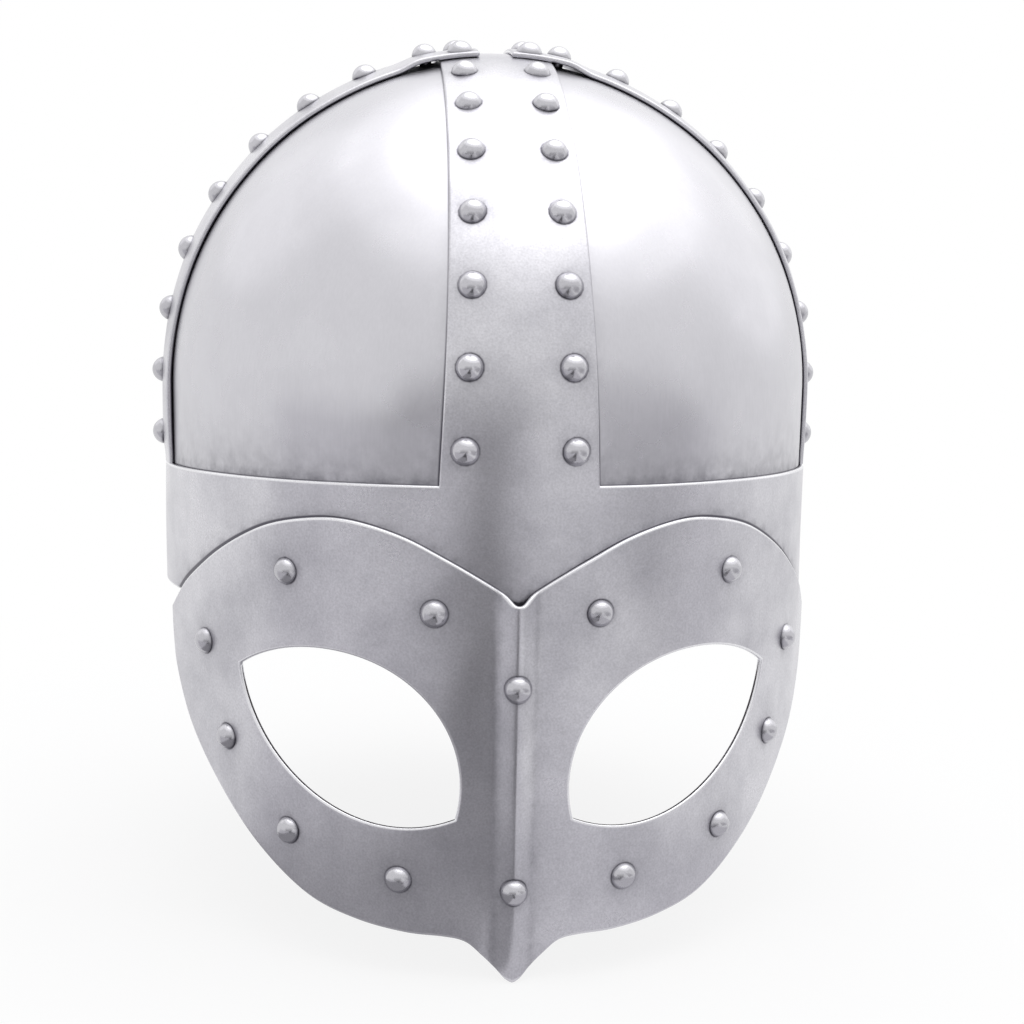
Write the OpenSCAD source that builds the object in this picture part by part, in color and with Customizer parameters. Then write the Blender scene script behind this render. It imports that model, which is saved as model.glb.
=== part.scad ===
// Riveted steel spectacle helmet with a leather head suspension.
// The front faces -Y and up is +Z. Left and right are as seen from the front.
// The origin is the middle of the head opening, level with the front rim of the brow band.
// The skull is an oval dome on a short upright wall. Its layers are parallel:
// the straps and brow band lie outside, the two skull halves lie behind them.

/* [Skull] */
// Half of the width over the brow band (mm)
skull_half_width = 101; // [99:0.5:103]
// Half of the length over the brow band (mm)
skull_half_length = 113; // [110:0.5:116]
// Height of the widest level above the front rim (mm)
wall_height = 57; // [55:0.5:60]
// Thickness of every steel sheet (mm)
sheet = 1.6; // [1.4:0.1:1.8]
// Gap between the two skull halves under the fore-and-aft strap (mm)
skull_gap = 6; // [4:0.5:8]

/* [Brow band] */
// Height of the brow band at the front (mm)
band_front_height = 44; // [42:0.5:46]
// Height of the brow band at the sides and rear (mm)
band_side_height = 38; // [36:0.5:40]
// Fall of the brow band towards the rear (degrees)
band_tilt = 6.8; // [6:0.2:7.6]
// Height of the skull halves' lower edge above the band's lower edge (mm)
skull_setback = 3; // [2:0.5:5]

/* [Straps] */
// Width of the fore-and-aft strap at the front brow (mm)
long_strap_foot = 44.4; // [42:0.4:47]
// Width of the fore-and-aft strap at the crown (mm)
long_strap_top = 34.4; // [33:0.2:35.4]
// Width of each side strap at the brow (mm)
side_strap_foot = 32; // [31:0.5:36]
// Width of each side strap at the crown (mm)
side_strap_top = 31; // [30:0.5:33]
// Distance by which a side strap leans forward at the brow (mm)
side_strap_lean = 6; // [3:0.5:9]
// Air gap under a side strap (mm)
side_strap_lift = 0.7; // [0.5:0.05:0.9]
// Distance from the middle at which a side strap ends on the crown (mm)
side_strap_end = 5; // [4:0.5:6]
// Distance from the middle at which a side strap steps down towards the skull (mm)
side_strap_step = 26; // [25.5:0.5:28]

/* [Mask] */
// Half of the mask's width (mm)
mask_half_width = 97.5; // [96:0.5:98.5]
// Height of the mask's upper lobes above the rim (mm)
mask_lobe_height = 32.5; // [30.5:0.5:34.5]
// Height of the mask's upper edge at the nose above the rim (mm)
mask_dip_height = 11.5; // [10:0.5:13]
// Depth of the mask's lower edge below the rim (mm)
mask_depth = 85.5; // [83:0.5:88]
// Drop of the nose point below the mask's lower edge (mm)
mask_point_depth = 12.5; // [10.5:0.5:14]
// Height of the nose ridge over the mask (mm)
ridge_height = 4.5; // [3.5:0.25:6]
// Half of the width of the nose ridge (mm)
ridge_half_width = 5.5; // [5:0.25:7]
// Radius of the upper edge of an eye opening (mm)
eye_upper_radius = 36; // [34:0.5:37]
// Radius of the lower edge of an eye opening (mm)
eye_lower_radius = 43; // [41:0.5:44]

/* [Rivets] */
// Width of a rivet head (mm)
head_width = 7.8; // [7:0.1:8.4]
// Height of a rivet head (mm)
head_height = 3.2; // [2.6:0.1:3.6]
// Width of a rivet shank (mm)
shank_width = 3.8; // [3.2:0.1:4]
// Width of a rivet's peened tail (mm)
tail_width = 6.2; // [5.6:0.1:6.8]
// Thickness of a rivet's peened tail (mm)
tail_height = 0.9; // [0.7:0.1:1.2]
// Clearance of a shank in its hole (mm)
hole_clearance = 0.05; // [0.03:0.01:0.1]
// Length of strap between the crown and the last pair of strap rivets (mm)
long_row_end = 34.3; // [33:0.1:36]
// Distance from the middle to a side strap's last rivet (mm)
side_row_end = 21; // [20.8:0.1:21.2]

/* [Liner] */
// Thickness of the leather headband (mm)
headband_thickness = 2.5; // [2:0.1:3]
// Height of the leather headband (mm)
headband_height = 30; // [27:0.5:32]
// Thickness of a leather crown strap (mm)
crown_strap_thickness = 2; // [1.6:0.1:2.4]
// Width of a leather crown strap (mm)
crown_strap_width = 28; // [24:1:32]
// Space between the leather and the steel at the crown (mm)
crown_space = 14.5; // [12:0.5:18]

/* [Hidden] */
$fn = 120;
// The oval is four arcs laid out on a 3-4-5 triangle, so that they run smoothly into each other.
step = (skull_half_length - skull_half_width) / 2;
end_shift = 4 * step;
side_shift = 3 * step;
end_radius = skull_half_length - end_shift;
side_radius = end_radius + 5 * step;
turn_sin = 0.6;
turn_cos = 0.8;
turn_angle = acos(turn_cos);
end_arc = end_radius * turn_angle * PI / 180;
// Layers, measured from the outside of the straps and the brow band.
skull_outer = -sheet;
skull_inner = -2 * sheet;
headband_inner = skull_inner - headband_thickness;
crown_strap_inner = headband_inner - crown_strap_thickness;
far = 400;
crown_z = wall_height + skull_half_width;
// Brow band: the upper edge falls towards the rear, the lower edge is level in front and then follows it.
band_slope = tan(band_tilt);
function band_top(y) = band_front_height - band_slope * (y + skull_half_length);
bend_y = (band_front_height - band_side_height) / band_slope - skull_half_length;
headband_drop = 4;
// Widths of the straps by height: a straight taper from the brow to the crown.
long_top_half = long_strap_top / 2;
long_taper = (long_strap_foot - long_strap_top) / 2 / (crown_z - band_front_height);
side_top_half = side_strap_top / 2;
side_taper = (side_strap_foot - side_strap_top) / 2 / (crown_z - band_top(0));
function long_half(z) = long_top_half + long_taper * (crown_z - z);
function side_half(z) = side_top_half + side_taper * (crown_z - z);
side_slant = side_strap_lean / (crown_z - band_top(0));
function side_mid(z) = -side_slant * (crown_z - z);
// Rivet rows.
row_inset = 6.6;
rear_extra = 1;
front_count = 7;
front_first_rise = 9.5;
front_start = band_front_height + front_first_rise - wall_height;
quarter_arc = end_arc + side_radius * (90 - turn_angle) * PI / 180;
long_pitch = (quarter_arc - long_row_end - front_start) / (front_count - 1);
side_count = 9;
side_first_rise = 9.9;
side_start = band_top(0) + side_first_rise - wall_height;
side_end = acos(side_row_end / (skull_half_width + sheet)) * PI / 180 * skull_half_width;
side_pitch = (side_end - side_start) / (side_count - 1);
crossing_y = 10.5;
strap_stack = 2 * sheet;
side_stack = strap_stack + side_strap_lift;
crossing_stack = 3 * sheet;
brow_stack = 3 * sheet + headband_thickness;
rear_stack = 2 * sheet + headband_thickness;
hole_radius = shank_width / 2 + hole_clearance;
hole_length = 30;
head_bite = tail_height / 2;
head_radius = (head_width * head_width / 4 + head_height * head_height) / (2 * head_height);
// A flat tail rests on its rim inside the curved sheet.
tail_relief = tail_width * tail_width / 8 / (end_radius - brow_stack);
// Mask.
ridge_fall = 0.4;
ridge_slope = (ridge_height + ridge_fall) / ridge_half_width;
ridge_skew = sqrt(1 + ridge_slope * ridge_slope);
ridge_outer_y = -(skull_half_length + sheet + ridge_height);
ridge_inner_y = ridge_outer_y + sheet * ridge_skew;
ridge_reach = 24;
mw = mask_half_width;
md = mask_depth;
ml = mask_lobe_height;
lobe_rise = mask_lobe_height - mask_dip_height;
mask_corner = [1.007 * mw, -0.104 * md];
mask_upper_edge = [
    [0, mask_dip_height],
    [0.05 * mw, mask_dip_height + 0.157 * lobe_rise],
    [0.12 * mw, mask_dip_height + 0.357 * lobe_rise],
    [0.2 * mw, mask_dip_height + 0.562 * lobe_rise],
    [0.31 * mw, mask_dip_height + 0.81 * lobe_rise],
    [0.42 * mw, mask_dip_height + 0.957 * lobe_rise],
    [0.52 * mw, ml],
    [0.62 * mw, 0.945 * ml],
    [0.71 * mw, 0.84 * ml],
    [0.79 * mw, 0.674 * ml],
    [0.86 * mw, 0.474 * ml],
    [0.92 * mw, 0.246 * ml],
    [0.965 * mw, 0.03 * ml],
    mask_corner
];
mask_lower_edge = [
    mask_corner,
    [1.003 * mw, -0.2 * md],
    [0.99 * mw, -0.32 * md],
    [0.944 * mw, -0.48 * md],
    [0.862 * mw, -0.635 * md],
    [0.744 * mw, -0.797 * md],
    [0.595 * mw, -0.926 * md],
    [0.451 * mw, -0.978 * md],
    [0.308 * mw, -md],
    [0.2 * mw, -md - 0.02 * mask_point_depth],
    [0.135 * mw, -md - 0.12 * mask_point_depth],
    [0.085 * mw, -md - 0.45 * mask_point_depth],
    [0.045 * mw, -md - 0.76 * mask_point_depth],
    [0.02 * mw, -md - 0.94 * mask_point_depth],
    [0, -md - mask_point_depth]
];
curve_steps = 5;
eye_upper_centre = [0.528 * mw, -0.485 * md];
eye_lower_centre = [0.349 * mw, -0.134 * md];
brow_rivets_xz = [[0.651 * mw, 0.465 * ml], [0.236 * mw, 0.717 * mask_dip_height]];
rim_rivets_xz = [
    [0.893 * mw, -0.152 * md],
    [0.826 * mw, -0.46 * md],
    [0.644 * mw, -0.719 * md],
    [0.329 * mw, -0.815 * md]
];
nose_rivets_z = [-0.14 * md, -0.83 * md];
rear_rivets_x = [0.3 * skull_half_width, 0.8 * skull_half_width];
seat_lap = 0.15;
ridge_seat = ridge_slope * (head_width / 2 - seat_lap);
ridge_tail_relief = ridge_slope * tail_width / 2;
// Leather suspension.
crown_drop = crown_space + skull_inner - headband_inner;
strap_play = 0.1;
cross_drop = crown_drop + crown_strap_thickness + strap_play;
crown_rivet_top = crown_z + headband_inner - crown_drop;
crown_rivet_stack = 2 * crown_strap_thickness + strap_play;
eyelet_head = 1.2;

steel = [0.74, 0.74, 0.76];
bright = [0.84, 0.84, 0.86];
leather = [0.36, 0.22, 0.13];

// Point of a smooth curve through four points, between the second and the third.
function between(a, b, c, d, t) =
    0.5 * (2 * b + (c - a) * t + (2 * a - 5 * b + 4 * c - d) * t * t + (3 * b - a - 3 * c + d) * t * t * t);
function curve(p) = [
    for (i = [0 : len(p) - 2])
        for (j = [0 : curve_steps - 1])
            between(p[max(i - 1, 0)], p[i], p[i + 1], p[min(i + 2, len(p) - 1)], j / curve_steps)
];

// Front of the oval at the distance r from its long axis, for one layer.
function oval_sin(r, layer) =
    r <= turn_sin * (end_radius + layer)
        ? r / (end_radius + layer)
        : (r + side_shift) / (side_radius + layer);
function oval_y(r, layer) =
    r <= turn_sin * (end_radius + layer)
        ? -end_shift - sqrt(pow(end_radius + layer, 2) - r * r)
        : -sqrt(pow(side_radius + layer, 2) - pow(r + side_shift, 2));
// Height above the widest level, after the length s along the strap's middle line.
function strap_rise(s) =
    s < 0 ? s
    : s < end_arc ? end_radius * sin(s / end_radius * 180 / PI)
    : side_radius * sin(turn_angle + (s - end_arc) / side_radius * 180 / PI) - side_shift;
// Point of the front half of the skull at the side distance x and the rise h, with its normal.
function skull_r(x, h) = h > 0 ? norm([x, h]) : abs(x);
function skull_point(x, h, layer) = [x, oval_y(skull_r(x, h), layer), wall_height + h];
function skull_normal(x, h, layer) =
    let (r = skull_r(x, h), s = oval_sin(r, layer))
    [s * x / r, -sqrt(1 - s * s), h > 0 ? s * h / r : 0];

// One half of the oval for a layer, on the positive side of its long axis.
module half_oval(layer) {
    side = side_radius + layer;
    end = end_radius + layer;
    turn_y = turn_cos * side;
    intersection() {
        translate([-side_shift, 0])
            circle(side);
        translate([0, -turn_y])
            square([far, 2 * turn_y]);
    }
    for (m = [0, 1])
        mirror([0, m])
            intersection() {
                translate([0, end_shift])
                    circle(end);
                translate([0, turn_y])
                    square(far);
            }
}

module half_ring(inner, outer) {
    difference() {
        half_oval(outer);
        half_oval(inner);
    }
}

// Upper half of the skull between two layers.
module dome(inner, outer) {
    translate([0, 0, wall_height])
        rotate([90, 0, 0])
            rotate_extrude(angle = 180)
                half_ring(inner, outer);
}

module wall(inner, outer) {
    for (m = [0, 1])
        mirror([m, 0, 0])
            translate([0, 0, wall_height - far])
                linear_extrude(far)
                    half_ring(inner, outer);
}

module skull(inner, outer) {
    dome(inner, outer);
    wall(inner, outer);
}

// Side view of the space over the brow band's upper edge.
module over_band() {
    rotate([90, 0, 90])
        linear_extrude(far, center = true)
            polygon([[-far, band_top(-far)], [far, band_top(far)], [far, far], [-far, far]]);
}

// Side view of a strip that starts a given height over the band's lower edge.
module from_rim(rise, height) {
    low = rise;
    rear_low = band_top(far) - band_side_height + rise;
    rotate([90, 0, 90])
        linear_extrude(far, center = true)
            polygon([
                [-far, low], [bend_y, low], [far, rear_low],
                [far, rear_low + height], [bend_y, low + height], [-far, low + height]
            ]);
}

module long_blank(extra) {
    rotate([90, 0, 0])
        linear_extrude(far, center = true)
            polygon([
                [-long_half(-far) - extra, -far], [long_half(-far) + extra, -far],
                [long_half(far) + extra, far], [-long_half(far) - extra, far]
            ]);
}

module side_blank() {
    rotate([90, 0, 90])
        linear_extrude(far)
            polygon([
                [side_mid(-far) - side_half(-far), -far], [side_mid(-far) + side_half(-far), -far],
                [side_mid(far) + side_half(far), far], [side_mid(far) - side_half(far), far]
            ]);
}

module place(p, n) {
    translate(p)
        rotate([0, acos(n[2]), atan2(n[1], n[0])])
            children();
}

// Positions of the rivets. The children are placed with their axes along the outward normal.
module long_row(first, count) {
    for (i = [0 : count - 1])
        for (side = [-1, 1]) {
            h = strap_rise(first + i * long_pitch);
            x = side * (long_half(wall_height + h) - row_inset);
            place(skull_point(x, h, 0), skull_normal(x, h, 0))
                children();
        }
}

module at_front_strap() {
    long_row(front_start, front_count)
        children();
}

module at_rear_strap() {
    mirror([0, 1, 0])
        long_row(front_start - rear_extra * long_pitch, front_count + rear_extra)
            children();
}

// Point and normal of the right side at the distance s up from the widest level.
function side_turn(s) = max(s, 0) / skull_half_width * 180 / PI;
function side_z(s) = wall_height + (s > 0 ? skull_half_width * sin(side_turn(s)) : s);
function side_r(y, layer) = sqrt(pow(side_radius + layer, 2) - y * y) - side_shift;

module at_side(s, layer) {
    y = side_mid(side_z(s));
    r = side_r(y, layer);
    t = side_turn(s);
    ny = y / (side_radius + layer);
    nr = sqrt(1 - ny * ny);
    place([r * cos(t), y, wall_height + min(s, 0) + r * sin(t)], [nr * cos(t), ny, nr * sin(t)])
        children();
}

module at_right_low() {
    for (i = [0 : side_count - 2])
        at_side(side_start + i * side_pitch, side_strap_lift)
            children();
}

module at_right_top() {
    at_side(side_start + (side_count - 1) * side_pitch, sheet)
        children();
}

module at_crown() {
    x = long_top_half - row_inset;
    h = sqrt(pow(side_radius + sheet, 2) - crossing_y * crossing_y) - side_shift;
    rise = sqrt(h * h - x * x);
    for (m = [0, 1])
        for (n = [0, 1])
            mirror([m, 0, 0])
                mirror([0, n, 0])
                    place(skull_point(x, rise, sheet), skull_normal(x, rise, sheet))
                        children();
}

module at_mask(list, layer) {
    for (p = list)
        for (m = [0, 1]) {
            h = p[1] - wall_height;
            mirror([m, 0, 0])
                place(skull_point(p[0], h, layer), skull_normal(p[0], h, layer))
                    children();
        }
}

module at_nose() {
    for (z = nose_rivets_z)
        translate([0, ridge_outer_y, z])
            rotate([90, 0, 0])
                children();
}

module at_rear_brow() {
    for (x = rear_rivets_x)
        for (m = [0, 1]) {
            y = -oval_y(x, 0);
            h = band_top(y) - band_side_height / 2 - wall_height;
            mirror([m, 0, 0])
                mirror([0, 1, 0])
                    place(skull_point(x, h, 0), skull_normal(x, h, 0))
                        children();
        }
}

// A round-headed rivet, set with its head's seat at the origin.
module rivet(stack) {
    length = stack + tail_relief;
    intersection() {
        translate([0, 0, head_height - head_radius])
            sphere(head_radius);
        translate([-far / 2, -far / 2, 0])
            cube(far);
    }
    translate([0, 0, -length - tail_height])
        cylinder(d = shank_width, h = length + tail_height + head_bite);
    translate([0, 0, -length - tail_height])
        cylinder(d = tail_width, h = tail_height);
}

module hole() {
    cylinder(r = hole_radius, h = hole_length, center = true);
}

module brow_band() {
    color(steel)
        difference() {
            intersection() {
                wall(-sheet, 0);
                difference() {
                    from_rim(0, far);
                    over_band();
                }
            }
            at_mask(brow_rivets_xz, sheet)
                hole();
            at_rear_brow()
                hole();
        }
}

module long_strap() {
    color(steel)
        difference() {
            intersection() {
                skull(-sheet, 0);
                long_blank(0);
                over_band();
            }
            at_front_strap()
                hole();
            at_rear_strap()
                hole();
            at_crown()
                hole();
        }
}

module right_strap_shape() {
    difference() {
        union() {
            intersection() {
                skull(side_strap_lift - sheet, side_strap_lift);
                side_blank();
                over_band();
                translate([side_strap_step - sheet, -far, -far])
                    cube(2 * far);
            }
            intersection() {
                dome(0, sheet);
                side_blank();
                translate([side_strap_end, -far, wall_height])
                    cube([side_strap_step - side_strap_end, 2 * far, far]);
            }
        }
        at_right_low()
            hole();
        at_right_top()
            hole();
        at_crown()
            hole();
    }
}

module right_side_strap() {
    color(steel)
        right_strap_shape();
}

module left_side_strap() {
    color(steel)
        mirror([1, 0, 0])
            right_strap_shape();
}

module right_half_shape() {
    difference() {
        intersection() {
            skull(skull_inner, skull_outer);
            from_rim(skull_setback, far);
            translate([skull_gap / 2, -far, -far])
                cube(2 * far);
        }
        at_front_strap()
            hole();
        at_rear_strap()
            hole();
        at_right_low()
            hole();
        at_right_top()
            hole();
        at_crown()
            hole();
        at_mask(brow_rivets_xz, sheet)
            hole();
        at_rear_brow()
            hole();
    }
}

module right_skull_half() {
    color(steel)
        right_half_shape();
}

module left_skull_half() {
    color(steel)
        mirror([1, 0, 0])
            right_half_shape();
}

// Plan of the mask: the oval with a roof-shaped fold down the nose.
module mask_plan() {
    half_outer();
    mirror([1, 0])
        half_outer();
}

module half_outer() {
    difference() {
        union() {
            half_oval(sheet);
            ridge_plan(ridge_outer_y);
        }
        half_oval(0);
        ridge_plan(ridge_inner_y);
    }
}

module ridge_plan(crest_y) {
    foot_y = crest_y + ridge_slope * ridge_reach;
    polygon([[0, crest_y], [ridge_reach, foot_y], [0, foot_y]]);
}

module mask_front() {
    half = concat(curve(mask_upper_edge), curve(mask_lower_edge));
    other = [for (i = [len(half) - 1 : -1 : 1]) [-half[i][0], half[i][1]]];
    difference() {
        polygon(concat(half, [[0, -md - mask_point_depth]], other));
        for (m = [0, 1])
            mirror([m, 0])
                intersection() {
                    translate(eye_upper_centre)
                        circle(eye_upper_radius);
                    translate(eye_lower_centre)
                        circle(eye_lower_radius);
                }
    }
}

module spectacle_mask() {
    color(steel)
        difference() {
            intersection() {
                translate([0, 0, -far / 2])
                    linear_extrude(far)
                        mask_plan();
                rotate([90, 0, 0])
                    linear_extrude(far)
                        mask_front();
            }
            at_mask(brow_rivets_xz, sheet)
                hole();
            at_mask(rim_rivets_xz, sheet)
                hole();
            at_nose()
                hole();
        }
}

module front_strap_rivets() {
    color(bright)
        at_front_strap()
            rivet(strap_stack);
}

module rear_strap_rivets() {
    color(bright)
        at_rear_strap()
            rivet(strap_stack);
}

module side_rivets() {
    at_right_low()
        rivet(side_stack);
    at_right_top()
        rivet(crossing_stack);
}

module right_strap_rivets() {
    color(bright)
        side_rivets();
}

module left_strap_rivets() {
    color(bright)
        mirror([1, 0, 0])
            side_rivets();
}

module crown_rivets() {
    color(bright)
        at_crown()
            rivet(crossing_stack);
}

module mask_brow_rivets() {
    color(bright)
        at_mask(brow_rivets_xz, sheet)
            rivet(brow_stack);
}

module mask_rim_rivets() {
    color(bright)
        at_mask(rim_rivets_xz, sheet)
            rivet(sheet);
}

// The heads on the nose have a notched seat that fits over the ridge.
module nose_rivets() {
    length = sheet * ridge_skew + ridge_tail_relief;
    color(bright)
        at_nose() {
            difference() {
                union() {
                    intersection() {
                        translate([0, 0, head_height - head_radius])
                            sphere(head_radius);
                        translate([-far / 2, -far / 2, -seat_lap])
                            cube(far);
                    }
                    translate([0, 0, -ridge_seat])
                        cylinder(d = head_width - 2 * seat_lap, h = ridge_seat + seat_lap);
                }
                rotate([90, 0, 0])
                    linear_extrude(far, center = true)
                        polygon([[0, 0], [far, -far * ridge_slope], [-far, -far * ridge_slope]]);
            }
            translate([0, 0, -length - tail_height])
                cylinder(d = shank_width, h = length + tail_height + head_bite);
            translate([0, 0, -length - tail_height])
                cylinder(d = tail_width, h = tail_height);
        }
}

module rear_brow_rivets() {
    color(bright)
        at_rear_brow()
            rivet(rear_stack);
}

module liner_headband() {
    color(leather)
        difference() {
            intersection() {
                wall(headband_inner, skull_inner);
                from_rim(headband_drop, headband_height);
            }
            at_mask(brow_rivets_xz, sheet)
                hole();
            at_rear_brow()
                hole();
        }
}

module liner_shell(drop) {
    intersection() {
        translate([0, 0, -drop])
            skull(crown_strap_inner, headband_inner);
        from_rim(2 * headband_drop, far);
    }
}

module liner_long_strap() {
    color(leather)
        difference() {
            intersection() {
                liner_shell(crown_drop);
                cube([crown_strap_width, 2 * far, 2 * far], center = true);
            }
            hole_at_top();
        }
}

module liner_cross_strap() {
    color(leather)
        difference() {
            intersection() {
                liner_shell(cross_drop);
                cube([2 * far, crown_strap_width, 2 * far], center = true);
            }
            hole_at_top();
        }
}

module hole_at_top() {
    translate([0, 0, crown_rivet_top])
        hole();
}

module liner_crown_rivet() {
    color(bright)
        translate([0, 0, crown_rivet_top]) {
            cylinder(d1 = head_width, d2 = tail_width, h = eyelet_head);
            translate([0, 0, -crown_rivet_stack - tail_relief - tail_height])
                cylinder(d = shank_width, h = crown_rivet_stack + tail_relief + tail_height + head_bite);
            translate([0, 0, -crown_rivet_stack - tail_relief - tail_height])
                cylinder(d = tail_width, h = tail_height);
        }
}

brow_band();
long_strap();
left_side_strap();
right_side_strap();
left_skull_half();
right_skull_half();
spectacle_mask();
front_strap_rivets();
rear_strap_rivets();
left_strap_rivets();
right_strap_rivets();
crown_rivets();
mask_brow_rivets();
mask_rim_rivets();
nose_rivets();
rear_brow_rivets();
liner_headband();
liner_long_strap();
liner_cross_strap();
liner_crown_rivet();
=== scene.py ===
"""Looks of the riveted spectacle helmet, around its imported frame.
Sizes are in mm; the floor, the cards, the lamps and the camera are in metres."""
import bpy
from functools import partial
from math import acos, atan2, copysign, cos, exp, hypot, pi, radians, sin, sqrt, tan
from mathutils import Matrix, Vector


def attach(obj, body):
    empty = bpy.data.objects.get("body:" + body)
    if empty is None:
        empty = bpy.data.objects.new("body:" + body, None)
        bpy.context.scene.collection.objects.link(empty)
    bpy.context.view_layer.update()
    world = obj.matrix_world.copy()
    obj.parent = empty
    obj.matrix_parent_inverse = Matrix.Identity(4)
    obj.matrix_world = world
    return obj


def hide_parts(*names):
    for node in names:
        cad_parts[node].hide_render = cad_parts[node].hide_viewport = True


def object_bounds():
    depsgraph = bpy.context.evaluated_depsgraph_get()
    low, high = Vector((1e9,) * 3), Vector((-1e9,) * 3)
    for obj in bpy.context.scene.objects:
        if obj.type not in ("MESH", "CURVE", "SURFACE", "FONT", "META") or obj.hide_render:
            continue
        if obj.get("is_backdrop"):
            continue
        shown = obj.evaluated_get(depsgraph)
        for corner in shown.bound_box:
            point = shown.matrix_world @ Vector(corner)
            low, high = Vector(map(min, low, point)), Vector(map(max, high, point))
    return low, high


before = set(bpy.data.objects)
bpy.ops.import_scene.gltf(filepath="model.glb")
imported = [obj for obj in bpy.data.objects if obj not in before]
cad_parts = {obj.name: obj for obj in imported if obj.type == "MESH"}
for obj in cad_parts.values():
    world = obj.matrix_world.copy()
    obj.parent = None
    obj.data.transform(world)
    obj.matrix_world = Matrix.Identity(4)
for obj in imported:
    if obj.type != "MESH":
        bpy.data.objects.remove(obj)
cad_low, cad_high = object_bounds()
MM, WELD = 0.001, 0.02

# The skull's form: an oval of four arcs on a short wall, turned over its long axis into a dome.
# The arcs' middles lie on a 3-4-5 triangle, so that the arcs run smoothly into each other.
HALF_WIDTH, HALF_LENGTH, WALL, SHEET = 101.0, 113.0, 57.0, 1.6
STEP = (HALF_LENGTH - HALF_WIDTH) / 2
END_SHIFT, SIDE_SHIFT = 4 * STEP, 3 * STEP
END_RADIUS = HALF_LENGTH - END_SHIFT
SIDE_RADIUS = END_RADIUS + 5 * STEP
TURN_SIN, TURN_COS, TURN_SLOPE = 0.6, 0.8, 0.75
TURN = acos(TURN_COS)
END_ARC = END_RADIUS * TURN
QUARTER_ARC = END_ARC + SIDE_RADIUS * (pi / 2 - TURN)
CROWN = WALL + HALF_WIDTH

# Skull halves: their gap, their lower edge over the band's, and the heights of their wall's rows
# of points over the band's upper edge.
SKULL_GAP, SKULL_SETBACK = 6.0, 3.0
WALL_ROWS = 8.0, 3.0, -1.0

# Brow band: its height in front, and at the sides and behind. Its upper edge falls to the rear,
# and its rows of points crowd a little towards that edge.
BAND_FRONT, BAND_SIDE, BAND_CROWD = 44.0, 38.0, 1.25
BAND_SLOPE = tan(radians(6.8))
BAND_MIDDLE = BAND_FRONT - BAND_SLOPE * HALF_LENGTH

# Straps, wider at the foot than at the top. A side strap's foot stands SIDE_LEAN further forward.
# The strap lies hollow over the skull, climbs on the fore-and-aft strap, and ends SIDE_END from
# the crown's middle. Near its foot it settles on the skull and is cut along the band's edge.
STRAP_FOOT, STRAP_TOP = 44.4, 34.4
STRAP_TAPER = (STRAP_FOOT - STRAP_TOP) / 2 / (CROWN - BAND_FRONT)
SIDE_FOOT, SIDE_TOP, SIDE_LEAN = 32.0, 31.0, 6.0
SIDE_TAPER = (SIDE_FOOT - SIDE_TOP) / 2 / (CROWN - BAND_MIDDLE)
SIDE_SLANT = SIDE_LEAN / (CROWN - BAND_MIDDLE)
SIDE_LIFT, SIDE_HOLLOW, SIDE_END = 0.7, 0.8, 5.0
CLIMB_FOOT, CLIMB_LENGTH, CLIMB_PLAY = 31.0, 9.0, 0.1
SIDE_SETTLE, SIDE_SKEW = 9.0, 14.0

# A strap's foot meets the band past FOOT_PLACE from the helmet's middle, within SEAM of the band's
# upper edge. The band's points near the strap's edge are drawn onto it, or just inside.
FOOT_PLACE, SEAM, SEAM_INSET = 70.0, 0.6, 0.05
DRAWN_FROM, DRAWN_INSIDE = 1.6, 0.35

# Mask: half its width, its depth, its lobes and the dip between them, and its point. Then the
# nose ridge: its height, half its width, its round back, its slope and its soft foot.
MASK_HALF, MASK_DEPTH, LOBE, DIP, POINT = 97.5, 85.5, 32.5, 11.5, 12.5
EYE_UPPER_RADIUS, EYE_LOWER_RADIUS = 36.0, 43.0
RIDGE_HEIGHT, RIDGE_HALF, RIDGE_ROUND, RIDGE_SLOPE, RIDGE_SOFT = 3.0, 5.4, 2.4, 0.89, 0.5

# Depth of the hammer's marks in the skull, in the band and straps, and in the mask, where they
# start beside the nose ridge.
SKULL_MARKS, BAND_MARKS, MASK_MARKS = 0.06, 0.2, 0.21
MARKS_START, MARKS_EASE = 2.0, 8.0

# Rivets. The tail stands upright for a share of its height, then is domed in steps of width and
# height. On the nose ridge the stack is deeper and the head sits lower, on a longer skirt.
HEAD_WIDTH, HEAD_HEIGHT, HEAD_SKIRT = 7.8, 3.2, 0.25
SHANK, SHANK_PLAY, TAIL_WIDTH, TAIL_HEIGHT = 3.8, 0.05, 6.2, 0.9
TAIL_WALL, TAIL_DOME = 0.55, ((0.86, 0.35), (0.55, 0.1))
RIDGE_STACK, RIDGE_SKIRT, RIDGE_SEAT = 3.15, 2.6, 0.2
# How far the hand-set rivets lean, and differ in width and in height.
LEAN, WIDTH_SPREAD, HEIGHT_SPREAD = 0.025, 0.02, 0.03
# A row's inset from the strap's edge, its count, the first rivet over the band and the last one
# from the middle. The four at the crown stand CROSSING_Y before and behind the middle.
ROW_INSET, FRONT_COUNT, REAR_COUNT, LONG_FIRST, LONG_LAST = 6.6, 7, 8, 9.5, 34.3
SIDE_COUNT, SIDE_FIRST, SIDE_LAST, CROSSING_Y = 9, 9.9, 21.0, 10.5

# Polishing black and painted shade: dark painted where parts meet, in corners, along the nose fold
# and round the rivets, where shade falls. Each trace is a share of dark at a corner, and the
# distance over which it fades. A painted shadow line is written out to a set reach from the edge
# of what sits on a sheet.
POLISH_AND_SHADE_BLACK = "#4a4852"
SHADE_LINE_REACH, SHADE_LINE_WIDTH = 6.0, 0.6
ABOVE_BAND = (0.85, 2.6), (0.55, 7.0)
BESIDE_STRAP, STRAP_CORNER = (0.2, 2.0), (0.45, 8.0)
CORNER_RISE, CORNER_START = (1.0, 12.0), 8.0
ABOVE_MASK = (0.6, 1.2), (0.25, 5.0)
ROUND_RIVET = (0.45, 1.2), (0.25, 3.0)
ON_RIVET = (1.0, 0.35)
ALONG_FOLD, FOLD_HALF = (0.35, 1.1), 0.3
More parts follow.
